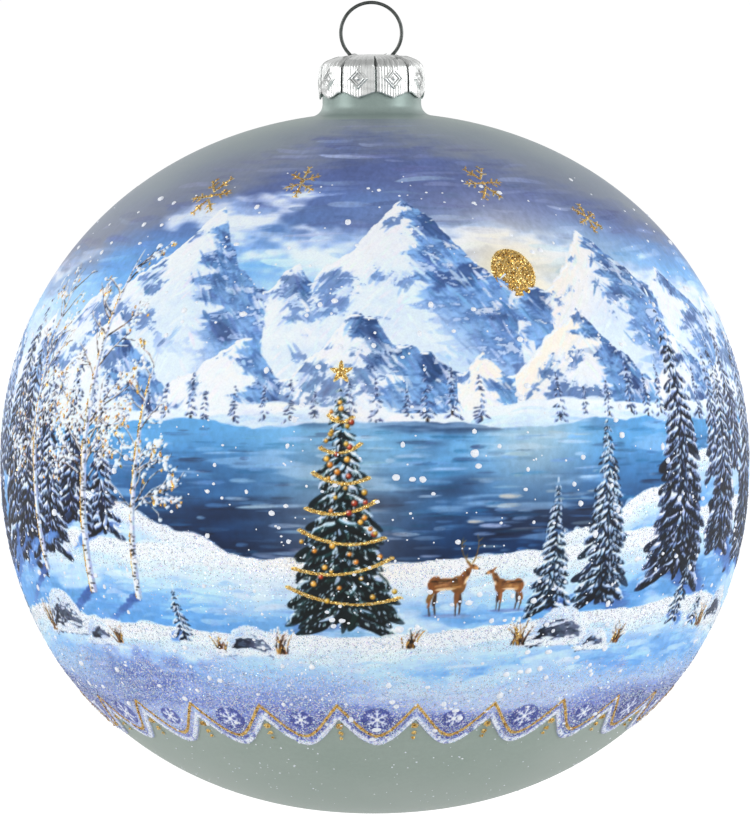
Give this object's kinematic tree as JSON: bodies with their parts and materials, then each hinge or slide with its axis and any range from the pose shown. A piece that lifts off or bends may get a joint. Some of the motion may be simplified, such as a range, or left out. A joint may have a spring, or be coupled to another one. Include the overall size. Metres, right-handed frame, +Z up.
{
  "type": "christmas ball ornament",
  "caption": "Large blown-glass ball ornament with a hand-decorated winter scene, a crimped crown cap and a spring-wire hanging loop.",
  "frame": {"origin": "hanging point: the inside of the top of the wire loop, on the neck's axis", "axes": "+Z up along the neck's axis, the wire loop lies in the XZ plane, the decorated front faces -Y"},
  "size_m": [0.15, 0.15, 0.163],
  "materials": {
    "lacquered_glass": "opaque grey-green pearl lacquer on blown glass, satin, painted and glittered over its middle",
    "cap_metal": "bright stamped sheet with embossed lozenges and fine ribs",
    "spring_wire": "drawn spring wire, semi bright",
    "artist_paint": "hand-laid acrylic paint with raised strokes and dabs",
    "glitter": "fine glitter flakes, pale iridescent and gold, in clear binder"
  },
  "bodies": {
    "hanger": {"hanger_loop": "spring_wire", "cap": "cap_metal"},
    "ball": {"glass_ball": "lacquered_glass"},
    "leg_left": {"leg_left": "spring_wire"},
    "leg_right": {"leg_right": "spring_wire"}
  },
  "joints": [
    {"name": "ball_pull", "type": "slide", "parent": "hanger", "child": "ball", "axis": [0, 0, -1], "range_m": [0, 0.036]},
    {"name": "leg_left_squeeze", "type": "hinge", "parent": "hanger", "child": "leg_left", "pos_m": [-0.00414, 0, -0.01157], "axis": [0, -1, 0], "range_deg": [0, 18.5]},
    {"name": "leg_right_squeeze", "type": "hinge", "parent": "hanger", "child": "leg_right", "pos_m": [0.00414, 0, -0.01157], "axis": [0, 1, 0], "range_deg": [0, 18.5]}
  ],
  "couplings": [
    {"joint": "leg_left_squeeze", "follows": "ball_pull", "rad_per_m": 8.7266},
    {"joint": "leg_right_squeeze", "follows": "ball_pull", "rad_per_m": 8.7266}
  ]
}
